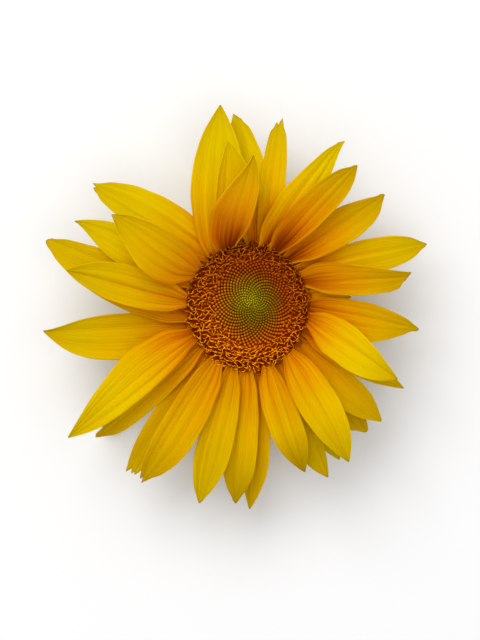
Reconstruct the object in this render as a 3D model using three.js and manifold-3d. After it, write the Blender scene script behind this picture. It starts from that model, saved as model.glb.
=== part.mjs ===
// A cut sunflower lying face up, on its bent stem and the turned-down tips of its lowest bracts.
// Millimetres, +Z up. Seen from above, +X is to the right and +Y is to the top of the flower.
import * as THREE from 'three';
import { mergeVertices } from 'three/addons/utils/BufferGeometryUtils.js';
import { ConvexHull } from 'three/addons/math/ConvexHull.js';
import Module from 'manifold-3d';

const wasm = await Module();
wasm.setup();

// Driving dimensions
const seatGap = 0.3; // between pieces that touch each other on the flower
const headHeight = 36; // level of the lowest petals' claws above the surface
const discRadius = 29.8; // outside of the ring of open florets
const budRadius = 20.2; // outside of the florets that are still in bud
const discFloor = -1.7; // underside of disc and petal ring, from headHeight
const cupRadius = 34; // rim of the green cup
const neckRadius = 6.6; // where the cup narrows to the stem
const cupDepth = 14; // from the cup's flat top down to the neck
const stemRadius = 5.5;
const stemBend = 13; // radius of the neck's bend
const stemReach = 97; // from the middle of the head to the cut end
const stemDirection = 216; // degrees, the way the stem runs below the petals
const petalThickness = 0.7;
const petalRoot = 31; // radius at which the petals leave the ring
const petalStep = 1.1; // height between the petals' layers at their claws
const bractThickness = 0.9;

// Outlines of one side of a petal's blade: where it is broadest, the claw's share of that width, how
// blunt that side is and how drawn out its point.
const leaf = { widest: 0.45, claw: 0.5, point: 2, taper: 1 };
const round = { widest: 0.48, claw: 0.5, point: 2.6, taper: 1 };
const late = { widest: 0.62, claw: 0.35, point: 2.1, taper: 1 };
const straight = { widest: 0.38, claw: 0.5, point: 1.4, taper: 1 };
const full = { widest: 0.56, claw: 0.4, point: 2.9, taper: 1 };
const hollow = { widest: 0.5, claw: 0.45, point: 2.2, taper: 1.8 };
const spur = { widest: 0.4, claw: 0.6, point: 1.6, taper: 2.6 };
const cone = { widest: 0.3, claw: 0.8, point: 1.5, taper: 1.5 };
const wedge = { widest: 0.25, claw: 0.8, point: 1.2, taper: 1.3 };
const lean = { widest: 0.6, claw: 0.35, point: 1.7, taper: 1 };

// Half the width of a petal's tip
const sharpTip = 0.35;
const snubTip = 1.3;
const broadTip = 2.2;
const toothedTip = 2.9;

// One petal. root and tip are directions in degrees, reach is the tip's distance from the middle, left and
// right are how broad the blade is on either side of its middle line, seen from above and from the claw.
// level is the layer from the back, rise is how much higher the tip is than the claw, arch how high the
// middle bows up, and cup how much the edges are raised.
function petal(root, tip, reach, left, right, level, rise, arch, sides = [leaf, leaf], tipHalf = sharpTip,
  cup = 1) {
  return { root, tip, reach, left, right, level, rise, arch, sides, tipHalf, cup };
}

// The petals, clockwise from the top
const petals = [
  petal(120, 97.8, 102.2, 13.7, 13, 2, 3, 5),
  petal(84, 93.3, 97.9, 9, 11, 1, -3, 4, [leaf, leaf], broadTip),
  petal(112, 97, 82.2, 6.5, 13.2, 3, 21, 5, [leaf, round]),
  petal(106, 88, 74, 13.6, 7.2, 4, 34, 7, [cone, round], sharpTip, 1.6),
  petal(76, 80.3, 96.6, 5.6, 6.9, 2, 0, 4, [late, round], broadTip),
  petal(72.5, 60.4, 96.2, 10.2, 6.5, 3, 5, 4, [straight, hollow], snubTip),
  petal(63, 52.4, 88.6, 9.6, 7, 4, 16, 5, [leaf, late], snubTip, 1.3),
  petal(50, 39.5, 88.4, 7.6, 10.2, 3, 7, 4, [hollow, late], snubTip),
  petal(36, 19.4, 95.4, 8.4, 8.6, 2, -1, 4, [late, late], snubTip),
  petal(24, 10.7, 82.6, 9.3, 8.2, 4, 13, 4, [wedge, full], broadTip),
  petal(11, 5.5, 52, 5, 4, 1, 0, 2),
  petal(0, -7.5, 86.3, 8, 11.6, 3, 4, 4, [leaf, hollow], snubTip),
  petal(-12, -25.8, 82.3, 10, 10.2, 4, 13, 5, [straight, round]),
  petal(-22, -27.5, 88.2, 6, 7.4, 2, 0, 4),
  petal(-34, -40.5, 88.6, 7, 10, 1, -4, 4, [late, round]),
  petal(-41, -46.3, 87.5, 6.4, 9, 0, -9, 2, [full, full], broadTip),
  petal(-50, -57, 91.8, 11, 8.8, 4, 11, 5, [round, leaf]),
  petal(-55, -59, 90, 6.5, 6.5, 0, -7, 3, [full, full]),
  petal(-60, -64.8, 94.8, 4.8, 9.8, 1, -3, 4, [late, full]),
  petal(-70, -71, 87.2, 6.8, 10.3, 3, 5, 4, [late, round]),
  petal(-79, -89.5, 102.3, 8, 7.5, 0, -8, 3, [late, leaf]),
  petal(-91, -93.6, 99.2, 8.5, 8.6, 1, -2, 4, [late, late], snubTip),
  petal(-105, -103.9, 101.4, 9.6, 8.2, 2, 3, 4, [lean, late], snubTip),
  petal(-121, -121.4, 102.9, 12.4, 7.2, 3, 7, 5, [lean, round], broadTip),
  petal(-132, -125.2, 103.1, 8, 7.2, 1, -3, 4, [late, late], toothedTip),
  petal(-141, -139.5, 100.6, 8.2, 5.5, 2, 1, 3, [full, spur], snubTip),
  petal(-150, -144, 110.4, 7.3, 15, 4, 12, 5, [late, straight]),
  petal(-165, -173.3, 104, 16.5, 6.6, 1, -4, 4, [round, hollow]),
  petal(174, 168.7, 91.5, 9.6, 10.2, 4, 14, 5, [leaf, round]),
  petal(184, 161.8, 107, 13.3, 10, 2, 0, 4, [leaf, leaf], broadTip),
  petal(157, 153.6, 96.6, 8.8, 9.8, 3, 5, 4, [hollow, round]),
  petal(144, 146, 81, 15.6, 8.4, 4, 24, 6, [straight, leaf], snubTip, 1.3),
  petal(127, 142, 100, 8, 13.8, 1, -1, 5, [leaf, leaf], broadTip),
];

// The whorls of bracts: count, first direction, and the middle line's claw, bend and tip as radius and
// height, with the height counted from headHeight. The last whorl bends down and lies flat at its tips.
const bractWhorls = [
  { count: 13, first: 12.5, width: 11, claw: [30.5, -4.2], bend: [46, -4.6], tip: [61, -12], flat: 0 },
  { count: 12, first: 20, width: 11, claw: [25, -7], bend: [41, -11.5], tip: [53, -21], flat: 0 },
  {
    count: 8,
    first: stemDirection + 22.5,
    width: 11,
    claw: [17, -10.6],
    bend: [38, bractThickness / 2 - headHeight],
    tip: [49, bractThickness / 2 - headHeight],
    flat: 8,
  },
];

const petalYellow = { color: 0xdcb400, roughness: 0.55, metalness: 0 };
const floretBrown = { color: 0x9a5a10, roughness: 0.8, metalness: 0 };
const budGold = { color: 0xa07a14, roughness: 0.8, metalness: 0 };
const leafGreen = { color: 0x5f7a2c, roughness: 0.75, metalness: 0 };
const stemGreen = { color: 0x7c9440, roughness: 0.75, metalness: 0 };

// A seeded draw between 0 and 1, so that the flower grows alike every time.
function seededDraw(seed) {
  let state = seed;
  return () => {
    state = (state + 0x6d2b79f5) | 0;
    let mixed = Math.imul(state ^ (state >>> 15), 1 | state);
    mixed = (mixed + Math.imul(mixed ^ (mixed >>> 7), 61 | mixed)) ^ mixed;
    return ((mixed ^ (mixed >>> 14)) >>> 0) / 4294967296;
  };
}

function polar(radius, degrees, height) {
  const angle = THREE.MathUtils.degToRad(degrees);
  return new THREE.Vector3(radius * Math.cos(angle), radius * Math.sin(angle), height);
}

function solidFromArrays(positions, triangles) {
  return new wasm.Manifold(new wasm.Mesh({
    numProp: 3,
    vertProperties: new Float32Array(positions),
    triVerts: new Uint32Array(triangles),
  }));
}

function solidFromGeometry(geometry) {
  const bare = geometry.clone();
  bare.deleteAttribute('normal');
  bare.deleteAttribute('uv');
  const merged = mergeVertices(bare, 1e-3);
  return solidFromArrays(merged.attributes.position.array, merged.index.array);
}

// A body turned round the flower's axis from a profile of radius and height.
function turnedSolid(profile, sides) {
  const outline = profile.map(([radius, height]) => new THREE.Vector2(radius, height));
  return solidFromGeometry(new THREE.LatheGeometry(outline, sides).rotateX(Math.PI / 2));
}

// The fused solid's main body: loose scraps are dropped and sealed hollows are filled.
function mainBody(solid) {
  return solid.decompose().reduce((best, part) => (part.volume() > best.volume() ? part : best));
}

function meshFromSolid(name, solid, finish) {
  const { vertProperties, triVerts } = mainBody(solid).getMesh();
  const geometry = new THREE.BufferGeometry();
  geometry.setAttribute('position', new THREE.BufferAttribute(vertProperties, 3));
  geometry.setIndex(new THREE.BufferAttribute(triVerts, 1));
  geometry.computeVertexNormals();
  const mesh = new THREE.Mesh(geometry, new THREE.MeshStandardMaterial(finish));
  mesh.name = name;
  return mesh;
}

// A thin closed blade about a middle surface. along runs from claw to tip, across from the right edge at
// -1 to the left edge at 1, and both faces are split into the same triangles.
function bladeSolid(stations, columns, pointAt, thickness) {
  const nudge = 1e-3;
  const positions = [];
  for (const side of [1, -1]) {
    for (const along of stations) {
      for (let column = 0; column <= columns; column++) {
        const across = -1 + (2 * column) / columns;
        const outward = pointAt(along + nudge, across).sub(pointAt(along - nudge, across));
        const leftward = pointAt(along, across + nudge).sub(pointAt(along, across - nudge));
        const normal = outward.cross(leftward).normalize();
        const point = pointAt(along, across).addScaledVector(normal, (side * thickness) / 2);
        positions.push(point.x, point.y, point.z);
      }
    }
  }
  const last = stations.length - 1;
  const under = stations.length * (columns + 1);
  const triangles = [];
  const at = (row, column) => row * (columns + 1) + column;
  const quad = (a, b, c, d) => triangles.push(a, b, c, a, c, d);
  for (let row = 0; row < last; row++) {
    for (let column = 0; column < columns; column++) {
      const corners = [at(row, column), at(row + 1, column), at(row + 1, column + 1), at(row, column + 1)];
      quad(...corners);
      const [a, b, c, d] = corners.map((corner) => corner + under);
      triangles.push(a, c, b, a, d, c);
    }
    quad(at(row, 0), at(row, 0) + under, at(row + 1, 0) + under, at(row + 1, 0));
    quad(at(row, columns), at(row + 1, columns), at(row + 1, columns) + under, at(row, columns) + under);
  }
  for (let column = 0; column < columns; column++) {
    quad(at(0, column), at(0, column + 1), at(0, column + 1) + under, at(0, column) + under);
    quad(at(last, column), at(last, column) + under, at(last, column + 1) + under, at(last, column + 1));
  }
  return solidFromArrays(positions, triangles);
}

// How broad one side of a petal is along its length, as a share of its broadest.
function sideShare({ widest, claw, point, taper }, along) {
  const before = Math.max(0, (widest - along) / widest);
  const after = Math.min(1, Math.max(0, (along - widest) / (1 - widest)));
  return (1 - (1 - claw) * before ** 2.4) * (1 - after ** point) ** taper;
}

// One petal: a blade with two lengthwise ribs, its edges slightly raised.
function petalSolid({ root, tip, reach, left, right, level, rise, arch, sides, tipHalf, cup }) {
  const stations = [0, 0.12, 0.26, 0.42, 0.57, 0.71, 0.83, 0.93, 1];
  const columns = 4;
  const ribHeight = 0.8;
  const edgeLift = 0.06 * cup * (left + right);
  const start = polar(petalRoot, root, 0);
  const way = polar(reach, tip, 0).sub(start);
  const leftward = new THREE.Vector3(-way.y, way.x, 0).normalize();
  const leftAtClaw = polar(1, root + 90, 0);
  const pointAt = (along, across) => {
    const [broadest, side] = across > 0 ? [left, sides[0]] : [right, sides[1]];
    const halfWidth = tipHalf + (broadest - tipHalf) * sideShare(side, along);
    const hump = 4 * along * (1 - along);
    const crease = Math.sqrt(Math.max(0, Math.sin(Math.PI * along)));
    const rib = (1 - Math.cos(2 * Math.PI * across)) / 2;
    const height = headHeight + petalStep * level + rise * along + arch * hump
      + crease * (ribHeight * rib + edgeLift * across * across);
    const sideways = leftAtClaw.clone().lerp(leftward, THREE.MathUtils.smoothstep(along, 0, 0.3));
    return start.clone().addScaledVector(way, along).addScaledVector(sideways, halfWidth * across)
      .setZ(height);
  };
  return bladeSolid(stations, columns, pointAt, petalThickness);
}

// The ring in which the petals' claws are grown together, round the outside of the disc.
function clawRing() {
  const inner = discRadius + 0.5;
  const outer = cupRadius - 0.5;
  const floor = headHeight + discFloor;
  const top = headHeight + 4 * petalStep + 0.6;
  const profile = [
    [inner, floor], [outer - 1, floor], [outer, floor + 1], [outer - 0.6, top - 1.4], [inner + 0.7, top],
    [inner, top], [inner, floor],
  ];
  return turnedSolid(profile, 56);
}

function rayPetals() {
  const solid = petals.reduce((sum, petal) => sum.add(petalSolid(petal)), clawRing());
  return meshFromSolid('ray_petals', solid, petalYellow);
}

// Height of the disc's face above headHeight: a low dome of buds inside a raised ring of open florets.
function discFace(radius) {
  const dome = 5.4 - 0.07 * radius;
  const ring = 4.4 * THREE.MathUtils.smoothstep(radius, 14, 24);
  const rim = 2.2 * THREE.MathUtils.smoothstep(radius, 25, discRadius);
  return dome + ring - rim;
}

// The florets stand on the spiral of the golden angle, whose middle lies a little off the disc's.
function floretPlaces(draw) {
  const floretCount = 370;
  const goldenAngle = 137.508;
  const edge = discRadius - 1.1;
  const places = [];
  for (let index = 0; index < floretCount; index++) {
    const radius = edge * Math.sqrt((index + 0.5) / floretCount);
    const place = polar(radius, index * goldenAngle, 0);
    const shift = 1 - (radius / edge) ** 2;
    place.x += 2.2 * shift;
    place.y += 1 * shift;
    const open = place.length() > budRadius;
    const bump = open ? 1.6 + 1.8 * draw() : 0.5 + 0.035 * radius;
    if (open) place.add(polar(0.7 * draw(), 360 * draw(), 0));
    place.z = discFace(Math.hypot(place.x, place.y)) + bump;
    places.push(place);
  }
  return places;
}

// Plan triangles between points, from the underside of the hull of the points lifted to a paraboloid.
function planTriangles(points) {
  const lifted = points.map((point) => new THREE.Vector3(point.x, point.y, point.x ** 2 + point.y ** 2));
  const indexOf = new Map(lifted.map((point, index) => [point, index]));
  const triangles = [];
  for (const face of new ConvexHull().setFromPoints(lifted).faces) {
    if (face.normal.z > -1e-6) continue;
    const corners = [face.edge.prev, face.edge.next, face.edge].map((edge) => edge.head().point);
    triangles.push(corners.map((corner) => indexOf.get(corner)));
  }
  return triangles;
}

// The whole disc: each floret is a low pyramid over its own cell, and the cells' corners lie deeper.
function discSolid() {
  const places = floretPlaces(seededDraw(7));
  const rimCount = 72;
  const rimTop = discFace(discRadius) - 0.8;
  const points = [...places];
  for (let index = 0; index < rimCount; index++) {
    points.push(polar(discRadius, (index * 360) / rimCount, rimTop));
  }
  const cells = planTriangles(points);
  const cornerOf = new Map();
  for (const [a, b, c] of cells) {
    const corner = points[a].clone().add(points[b]).add(points[c]).divideScalar(3);
    const radius = Math.hypot(corner.x, corner.y);
    corner.z = discFace(radius) - (radius > budRadius ? 1.2 : 0.5);
    points.push(corner);
    for (const [from, to] of [[a, b], [b, c], [c, a]]) cornerOf.set(`${from} ${to}`, points.length - 1);
  }
  const triangles = [];
  for (const [key, corner] of cornerOf) {
    const [from, to] = key.split(' ').map(Number);
    const across = cornerOf.get(`${to} ${from}`);
    triangles.push(from, across ?? to, corner);
  }
  const rimStart = places.length;
  const floorStart = points.length;
  for (let index = 0; index < rimCount; index++) {
    points.push(points[rimStart + index].clone().setZ(discFloor));
  }
  points.push(new THREE.Vector3(0, 0, discFloor));
  for (let index = 0; index < rimCount; index++) {
    const next = (index + 1) % rimCount;
    triangles.push(rimStart + index, floorStart + index, floorStart + next);
    triangles.push(rimStart + index, floorStart + next, rimStart + next);
    triangles.push(points.length - 1, floorStart + next, floorStart + index);
  }
  return solidFromArrays(points.flatMap((point) => [point.x, point.y, point.z + headHeight]), triangles);
}

function plug(radius) {
  const tall = 60;
  const geometry = new THREE.CylinderGeometry(radius, radius, tall, 64).rotateX(Math.PI / 2);
  return solidFromGeometry(geometry.translate(0, 0, headHeight));
}

// The outermost florets lean out over the petals' claws.
function leaningFlorets(draw) {
  const count = 46;
  const spikes = [];
  for (let index = 0; index < count; index++) {
    const direction = (index * 360) / count + 3 * draw();
    const foot = polar(28, direction, headHeight + 7);
    const tip = polar(31.2 + draw(), direction + 4 * draw() - 2, headHeight + 12 + 1.5 * draw());
    const length = foot.distanceTo(tip);
    const turn = new THREE.Quaternion().setFromUnitVectors(
      new THREE.Vector3(0, 1, 0), tip.clone().sub(foot).normalize(),
    );
    const spike = new THREE.ConeGeometry(1.2, length, 5).applyQuaternion(turn);
    const middle = foot.add(tip).divideScalar(2);
    spikes.push(solidFromGeometry(spike.translate(middle.x, middle.y, middle.z)));
  }
  return spikes;
}

function discMeshes() {
  const disc = discSolid();
  const outerDisc = disc.subtract(plug(budRadius + seatGap));
  const ring = leaningFlorets(seededDraw(11)).reduce((sum, spike) => sum.add(spike), outerDisc);
  return [
    meshFromSolid('open_florets', ring, floretBrown),
    meshFromSolid('disc_buds', disc.intersect(plug(budRadius)), budGold),
  ];
}

function cupSolid() {
  const top = headHeight + discFloor - seatGap;
  const neck = top - cupDepth;
  const profile = [
    [0, neck], [neckRadius, neck], [neckRadius + 3.5, neck + 2.2], [20, top - 9], [29, top - 4.6],
    [cupRadius - 0.5, top - 1.6], [cupRadius, top - 0.6], [cupRadius - 0.5, top], [0, top],
  ];
  return turnedSolid(profile, 32);
}

// One bract: broad near its claw, drawn out to a narrow tip.
function bractSolid({ width, claw, bend, tip, flat }, direction, size) {
  const stations = [0, 0.16, 0.36, 0.58, 0.8, 1];
  const outward = polar(1, direction, 0);
  const left = new THREE.Vector3(-outward.y, outward.x, 0);
  const flatShare = flat > 0 ? 0.2 : 0;
  const arc = new THREE.QuadraticBezierCurve(...[claw, bend, tip].map(([r, z]) => new THREE.Vector2(r, z)));
  const pointAt = (along, across) => {
    const onArc = Math.min(along / (1 - flatShare), 1);
    const beyond = Math.max(0, along - (1 - flatShare)) / (flatShare || 1);
    const middle = arc.getPoint(onArc);
    const radius = claw[0] + (middle.x - claw[0]) * size + flat * beyond;
    const broad = Math.min(1, 0.7 + 1.4 * along) * Math.max(0, 1 - Math.max(0, along - 0.22) / 0.78) ** 0.8;
    const halfWidth = Math.max(0.6, (width / 2) * broad);
    const fold = 0.12 * width * Math.sin(Math.PI * Math.min(onArc, 1)) * across * across;
    return outward.clone().multiplyScalar(radius).addScaledVector(left, halfWidth * across)
      .setZ(headHeight + middle.y + fold);
  };
  return bladeSolid(stations, 2, pointAt, bractThickness);
}

function receptacle() {
  const draw = seededDraw(23);
  let solid = cupSolid();
  for (const whorl of bractWhorls) {
    const spread = whorl.flat > 0 ? 0 : 1;
    for (let index = 0; index < whorl.count; index++) {
      const direction = whorl.first + (index * 360) / whorl.count + spread * (6 * draw() - 3);
      solid = solid.add(bractSolid(whorl, direction, 1 + spread * (0.2 * draw() - 0.1)));
    }
  }
  return meshFromSolid('receptacle', solid, leafGreen);
}

// The stem hangs from the neck, bends to the surface and runs along it to its cut end.
function stem() {
  const top = headHeight + discFloor - seatGap - cupDepth - seatGap;
  const sides = 12;
  const steps = 20;
  const route = [new THREE.Vector3(0, 0, top)];
  for (const turn of [0, 15, 30, 45, 60, 75, 90]) {
    const angle = THREE.MathUtils.degToRad(turn);
    const along = stemBend * (1 - Math.cos(angle));
    const height = stemRadius + stemBend * (1 - Math.sin(angle));
    route.push(polar(along, stemDirection, height));
  }
  for (const share of [0.05, 0.3, 0.55, 0.8, 1]) {
    const radius = stemBend + (stemReach - stemBend) * share;
    route.push(polar(radius, stemDirection + 2.5 * share * share, stemRadius));
  }
  const section = new THREE.Shape();
  for (let index = 0; index < sides; index++) {
    const corner = polar(stemRadius, (index * 360) / sides, 0);
    if (index === 0) section.moveTo(corner.x, corner.y);
    else section.lineTo(corner.x, corner.y);
  }
  const path = new THREE.CatmullRomCurve3(route);
  const geometry = new THREE.ExtrudeGeometry(section, { steps, extrudePath: path, bevelEnabled: false });
  return meshFromSolid('stem', solidFromGeometry(geometry), stemGreen);
}

// The flower stands with its lowest points at zero height, in the middle of its own plan.
function settled(group) {
  const box = new THREE.Box3().setFromObject(group, true);
  group.position.set(-(box.min.x + box.max.x) / 2, -(box.min.y + box.max.y) / 2, -box.min.z);
  return group;
}

const sunflower = new THREE.Group();
sunflower.add(rayPetals(), ...discMeshes(), receptacle(), stem());

export default settled(sunflower);
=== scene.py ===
import math
import random

import bpy
import numpy as np
from mathutils import Matrix, Vector


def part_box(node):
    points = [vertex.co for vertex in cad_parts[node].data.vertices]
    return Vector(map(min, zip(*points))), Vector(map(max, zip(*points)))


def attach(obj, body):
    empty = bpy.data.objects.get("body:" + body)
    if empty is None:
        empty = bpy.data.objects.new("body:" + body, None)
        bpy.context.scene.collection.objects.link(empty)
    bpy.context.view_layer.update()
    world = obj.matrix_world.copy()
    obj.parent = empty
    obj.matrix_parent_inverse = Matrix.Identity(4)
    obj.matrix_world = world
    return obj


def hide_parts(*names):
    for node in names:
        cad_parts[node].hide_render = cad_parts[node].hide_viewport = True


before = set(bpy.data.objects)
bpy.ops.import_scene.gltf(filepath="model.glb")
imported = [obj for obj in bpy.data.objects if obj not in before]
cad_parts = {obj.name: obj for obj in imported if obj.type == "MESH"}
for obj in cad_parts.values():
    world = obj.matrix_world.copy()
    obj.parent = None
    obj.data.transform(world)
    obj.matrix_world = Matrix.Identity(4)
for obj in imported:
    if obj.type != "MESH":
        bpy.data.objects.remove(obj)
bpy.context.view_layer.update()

# A cut sunflower lying face up. Shapes are worked out in millimetres from the middle of the head
# and put into the frame in metres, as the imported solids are.
mm = 0.001
budLow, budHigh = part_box("disc_buds")
discFloor = -1.7         # underside of the disc, from the level of the lowest petals
headMiddle = Vector(((budLow.x + budHigh.x) / 2, (budLow.y + budHigh.y) / 2, budLow.z - discFloor * mm))
discRadius = 29.8
print("frame loaded:", ", ".join(sorted(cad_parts)))


# Selecting and finishing pieces

def deselectAll():
    if bpy.context.mode != "OBJECT":
        bpy.ops.object.mode_set(mode="OBJECT")
    bpy.ops.object.select_all(action="DESELECT")


def takeUp(piece):
    deselectAll()
    piece.select_set(True)
    bpy.context.view_layer.objects.active = piece


def applyModifier(piece, kind, **settings):
    takeUp(piece)
    bpy.ops.object.modifier_add(type=kind)
    modifier = piece.modifiers[-1]
    for key, value in settings.items():
        setattr(modifier, key, value)
    bpy.ops.object.modifier_apply(modifier=modifier.name)


def finishPiece(piece, name, material, node):
    piece.name = name
    piece.data.name = name
    piece.data.materials.append(material)
    for polygon in piece.data.polygons:
        polygon.use_smooth = True
    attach(piece, "root")
    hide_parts(node)


def polar(radius, degrees, height=0.0):
    angle = math.radians(degrees)
    return np.array([radius * math.cos(angle), radius * math.sin(angle), height])


def intoFrame(points):
    return np.asarray(points, float) * mm + np.array(headMiddle)


def smoothStep(value, low, high):
    share = np.clip((value - low) / (high - low), 0, 1)
    return share * share * (3 - 2 * share)


# A draw between 0 and 1 from a seed, the same each time
def seededDraw(seed):
    state = [seed]

    def draw():
        state[0] = (state[0] + 0x6D2B79F5) & 0xFFFFFFFF
        mixed = ((state[0] ^ (state[0] >> 15)) * (1 | state[0])) & 0xFFFFFFFF
        extra = ((mixed ^ (mixed >> 7)) * (61 | mixed)) & 0xFFFFFFFF
        mixed = ((mixed + extra) & 0xFFFFFFFF) ^ mixed
        return (mixed ^ (mixed >> 14)) / 2 ** 32
    return draw


# Values kept per point for the materials to read
def markPoints(mesh, marks):
    for name, values in marks.items():
        layer = mesh.attributes.new(name, "FLOAT", "POINT")
        layer.data.foreach_set("value", np.broadcast_to(values, len(mesh.vertices)).astype(np.float32))


# A flat grid with its own UV map, moved into place by a surface function of along and across
def gridPiece(columns, rows, surface, firstRow=0.0, crowding=1.0):
    deselectAll()
    bpy.ops.mesh.primitive_grid_add(x_subdivisions=columns, y_subdivisions=rows, size=2, calc_uvs=True)
    piece = bpy.context.object
    mesh = piece.data
    flat = np.zeros(len(mesh.vertices) * 3)
    mesh.vertices.foreach_get("co", flat)
    flat = flat.reshape(-1, 3)
    across = flat[:, 0]
    rowShare = 1 - np.clip((1 - flat[:, 1]) / 2, 0, 1) ** crowding      # rows crowd towards the tip
    along = firstRow + (1 - firstRow) * rowShare
    points, marks = surface(along, across)
    mesh.vertices.foreach_set("co", intoFrame(points).ravel())
    markPoints(mesh, marks)
    mesh.update()
    return piece


# Nodes of a material

def newMaterial(name, roughness, **sockets):
    material = bpy.data.materials.new(name)
    material.use_nodes = True
    tree = material.node_tree
    shader = next(node for node in tree.nodes if node.type == "BSDF_PRINCIPLED")
    shader.inputs["Roughness"].default_value = roughness
    for key, value in sockets.items():
        shader.inputs[key].default_value = value
    return material, tree, shader


def plugIn(tree, socket, value):
    if isinstance(value, bpy.types.NodeSocket):
        tree.links.new(value, socket)
    elif isinstance(value, tuple):
        socket.default_value = (*value, 1)
    else:
        socket.default_value = value


def mathNode(tree, operation, first, second=0.0):
    node = tree.nodes.new("ShaderNodeMath")
    node.operation = operation
    plugIn(tree, node.inputs[0], first)
    plugIn(tree, node.inputs[1], second)
    return node.outputs[0]


def fadeNode(tree, value, low, high, atLow=0.0, atHigh=1.0):
    node = tree.nodes.new("ShaderNodeMapRange")
    node.interpolation_type = "SMOOTHSTEP"
    for socket, number in zip(node.inputs, (value, low, high, atLow, atHigh)):
        plugIn(tree, socket, number)
    return node.outputs[0]


def mixNode(tree, factor, first, second, blend="MIX"):
    node = tree.nodes.new("ShaderNodeMix")
    node.data_type = "RGBA"
    node.blend_type = blend
    plugIn(tree, node.inputs[0], factor)
    plugIn(tree, node.inputs[6], first)
    plugIn(tree, node.inputs[7], second)
    return node.outputs[2]


# The colour shaded by a tint where the factor is high
def tintNode(tree, factor, colour, tint):
    return mixNode(tree, factor, colour, tint, "MULTIPLY")


def rampNode(tree, factor, stops):
    node = tree.nodes.new("ShaderNodeValToRGB")
    ramp = node.color_ramp
    while len(ramp.elements) < len(stops):
        ramp.elements.new(0.5)
    for element, (place, colour) in zip(ramp.elements, stops):
        element.position = place
        element.color = (*colour, 1)
    plugIn(tree, node.inputs[0], factor)
    return node.outputs[0]


def attributeNode(tree, name):
    node = tree.nodes.new("ShaderNodeAttribute")
    node.attribute_name = name
    return node.outputs["Fac"]


# Noise in object metres or along a piece's own UV map, drawn anew for each value of the variety
def noiseNode(tree, source, stretch, detail=3.0, roughness=0.5, variety=None):
    coordinates = tree.nodes.new("ShaderNodeTexCoord")
    mapping = tree.nodes.new("ShaderNodeMapping")
    mapping.inputs["Scale"].default_value = stretch
    tree.links.new(coordinates.outputs[source], mapping.inputs["Vector"])
    noise = tree.nodes.new("ShaderNodeTexNoise")
    noise.inputs["Scale"].default_value = 1.0
    noise.inputs["Detail"].default_value = detail
    noise.inputs["Roughness"].default_value = roughness
    if variety:
        noise.noise_dimensions = "4D"
        tree.links.new(mathNode(tree, "MULTIPLY", variety, 40.0), noise.inputs["W"])
    tree.links.new(mapping.outputs[0], noise.inputs["Vector"])
    return noise.outputs[0]


def bumpNode(tree, shader, height, strength, distance):
    bump = tree.nodes.new("ShaderNodeBump")
    bump.inputs["Strength"].default_value = strength
    bump.inputs["Distance"].default_value = distance
    tree.links.new(height, bump.inputs["Height"])
    tree.links.new(bump.outputs[0], shader.inputs["Normal"])


# The colour made brighter or darker by the tone marked on its points, which carries painted light and shade
# as well as differences at random, and its green by the share of green
def toneNode(tree, colour):
    tone = tree.nodes.new("ShaderNodeCombineColor")
    value = attributeNode(tree, "tone")
    for index in range(3):
        tree.links.new(value, tone.inputs[index])
    tree.links.new(mathNode(tree, "MULTIPLY", value, attributeNode(tree, "green")), tone.inputs[1])
    return mixNode(tree, 1.0, colour, tone.outputs[0], "MULTIPLY")


# Petals

petalLook = {
    "root": 31.0, "firstRow": -0.012, "levelStep": 1.1, "thickness": 0.34, "columns": 44, "rows": 50,
    "crowding": 1.1, "grooveHalf": 0.16, "grooveDepth": 0.9, "grooveWander": 0.03, "faintGrooves": 5,
    "cup": 0.06, "rimFrom": 0.8, "rimWave": 0.3, "rimCurl": 0.5, "clawShare": 0.7, "clawTrough": 2.4,
    "clawLength": 0.12, "turnTo": 0.3, "tipFrom": 0.86, "edgeWander": 0.012, "sway": 0.5,
    "shadedClaw": 0.1, "clawTroughShade": 0.4, "troughShadeLength": 0.25, "tipShadeFrom": 0.55, "seed": 5,
}

# warmth runs from red-brown over orange and golden to yellow
petalColours = {
    "warmth": (
        (0.0, (0.24, 0.03, 0.0)), (0.09, (0.46, 0.09, 0.0)), (0.16, (0.64, 0.175, 0.0)),
        (0.28, (0.78, 0.29, 0.0)), (0.5, (0.75, 0.425, 0.0)), (0.85, (0.72, 0.51, 0.0)),
        (1.0, (0.71, 0.51, 0.0)),
    ),
    # painted shade darkens the petals towards their tips, in their grooves and along their claws' edges,
    # and a painted highlight brightens the edges of their blades
    "tip": (0.84, 0.84, 0.84), "dryTip": (0.6, 0.4, 0.2), "clawLine": (0.8, 0.42, 0.2),
    "groove": (0.8, 0.58, 0.3), "darkStreak": (0.85, 0.72, 0.4), "paleStreak": (0.86, 0.58, 0.0),
    "darkVein": (0.85, 0.74, 0.4), "paleVein": (0.9, 0.6, 0.0), "mottle": (0.9, 0.8, 0.6),
    "clawEdgeShade": (0.6, 0.18, 0.0), "bladeEdgeHighlight": (0.86, 0.52, 0.0),
}

# sides: where that side is broadest, the claw's share of its width, how blunt it is and how drawn out
# its point
petalSides = {
    "leaf": (0.45, 0.5, 2.0, 1.0), "round": (0.48, 0.5, 2.6, 1.0), "late": (0.62, 0.35, 2.1, 1.0),
    "straight": (0.38, 0.5, 1.4, 1.0), "full": (0.56, 0.4, 2.9, 1.0), "hollow": (0.5, 0.45, 2.2, 1.8),
    "spur": (0.4, 0.6, 1.6, 2.6), "cone": (0.3, 0.8, 1.5, 1.5), "wedge": (0.25, 0.8, 1.2, 1.3),
    "lean": (0.6, 0.35, 1.7, 1.0),
}

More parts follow.
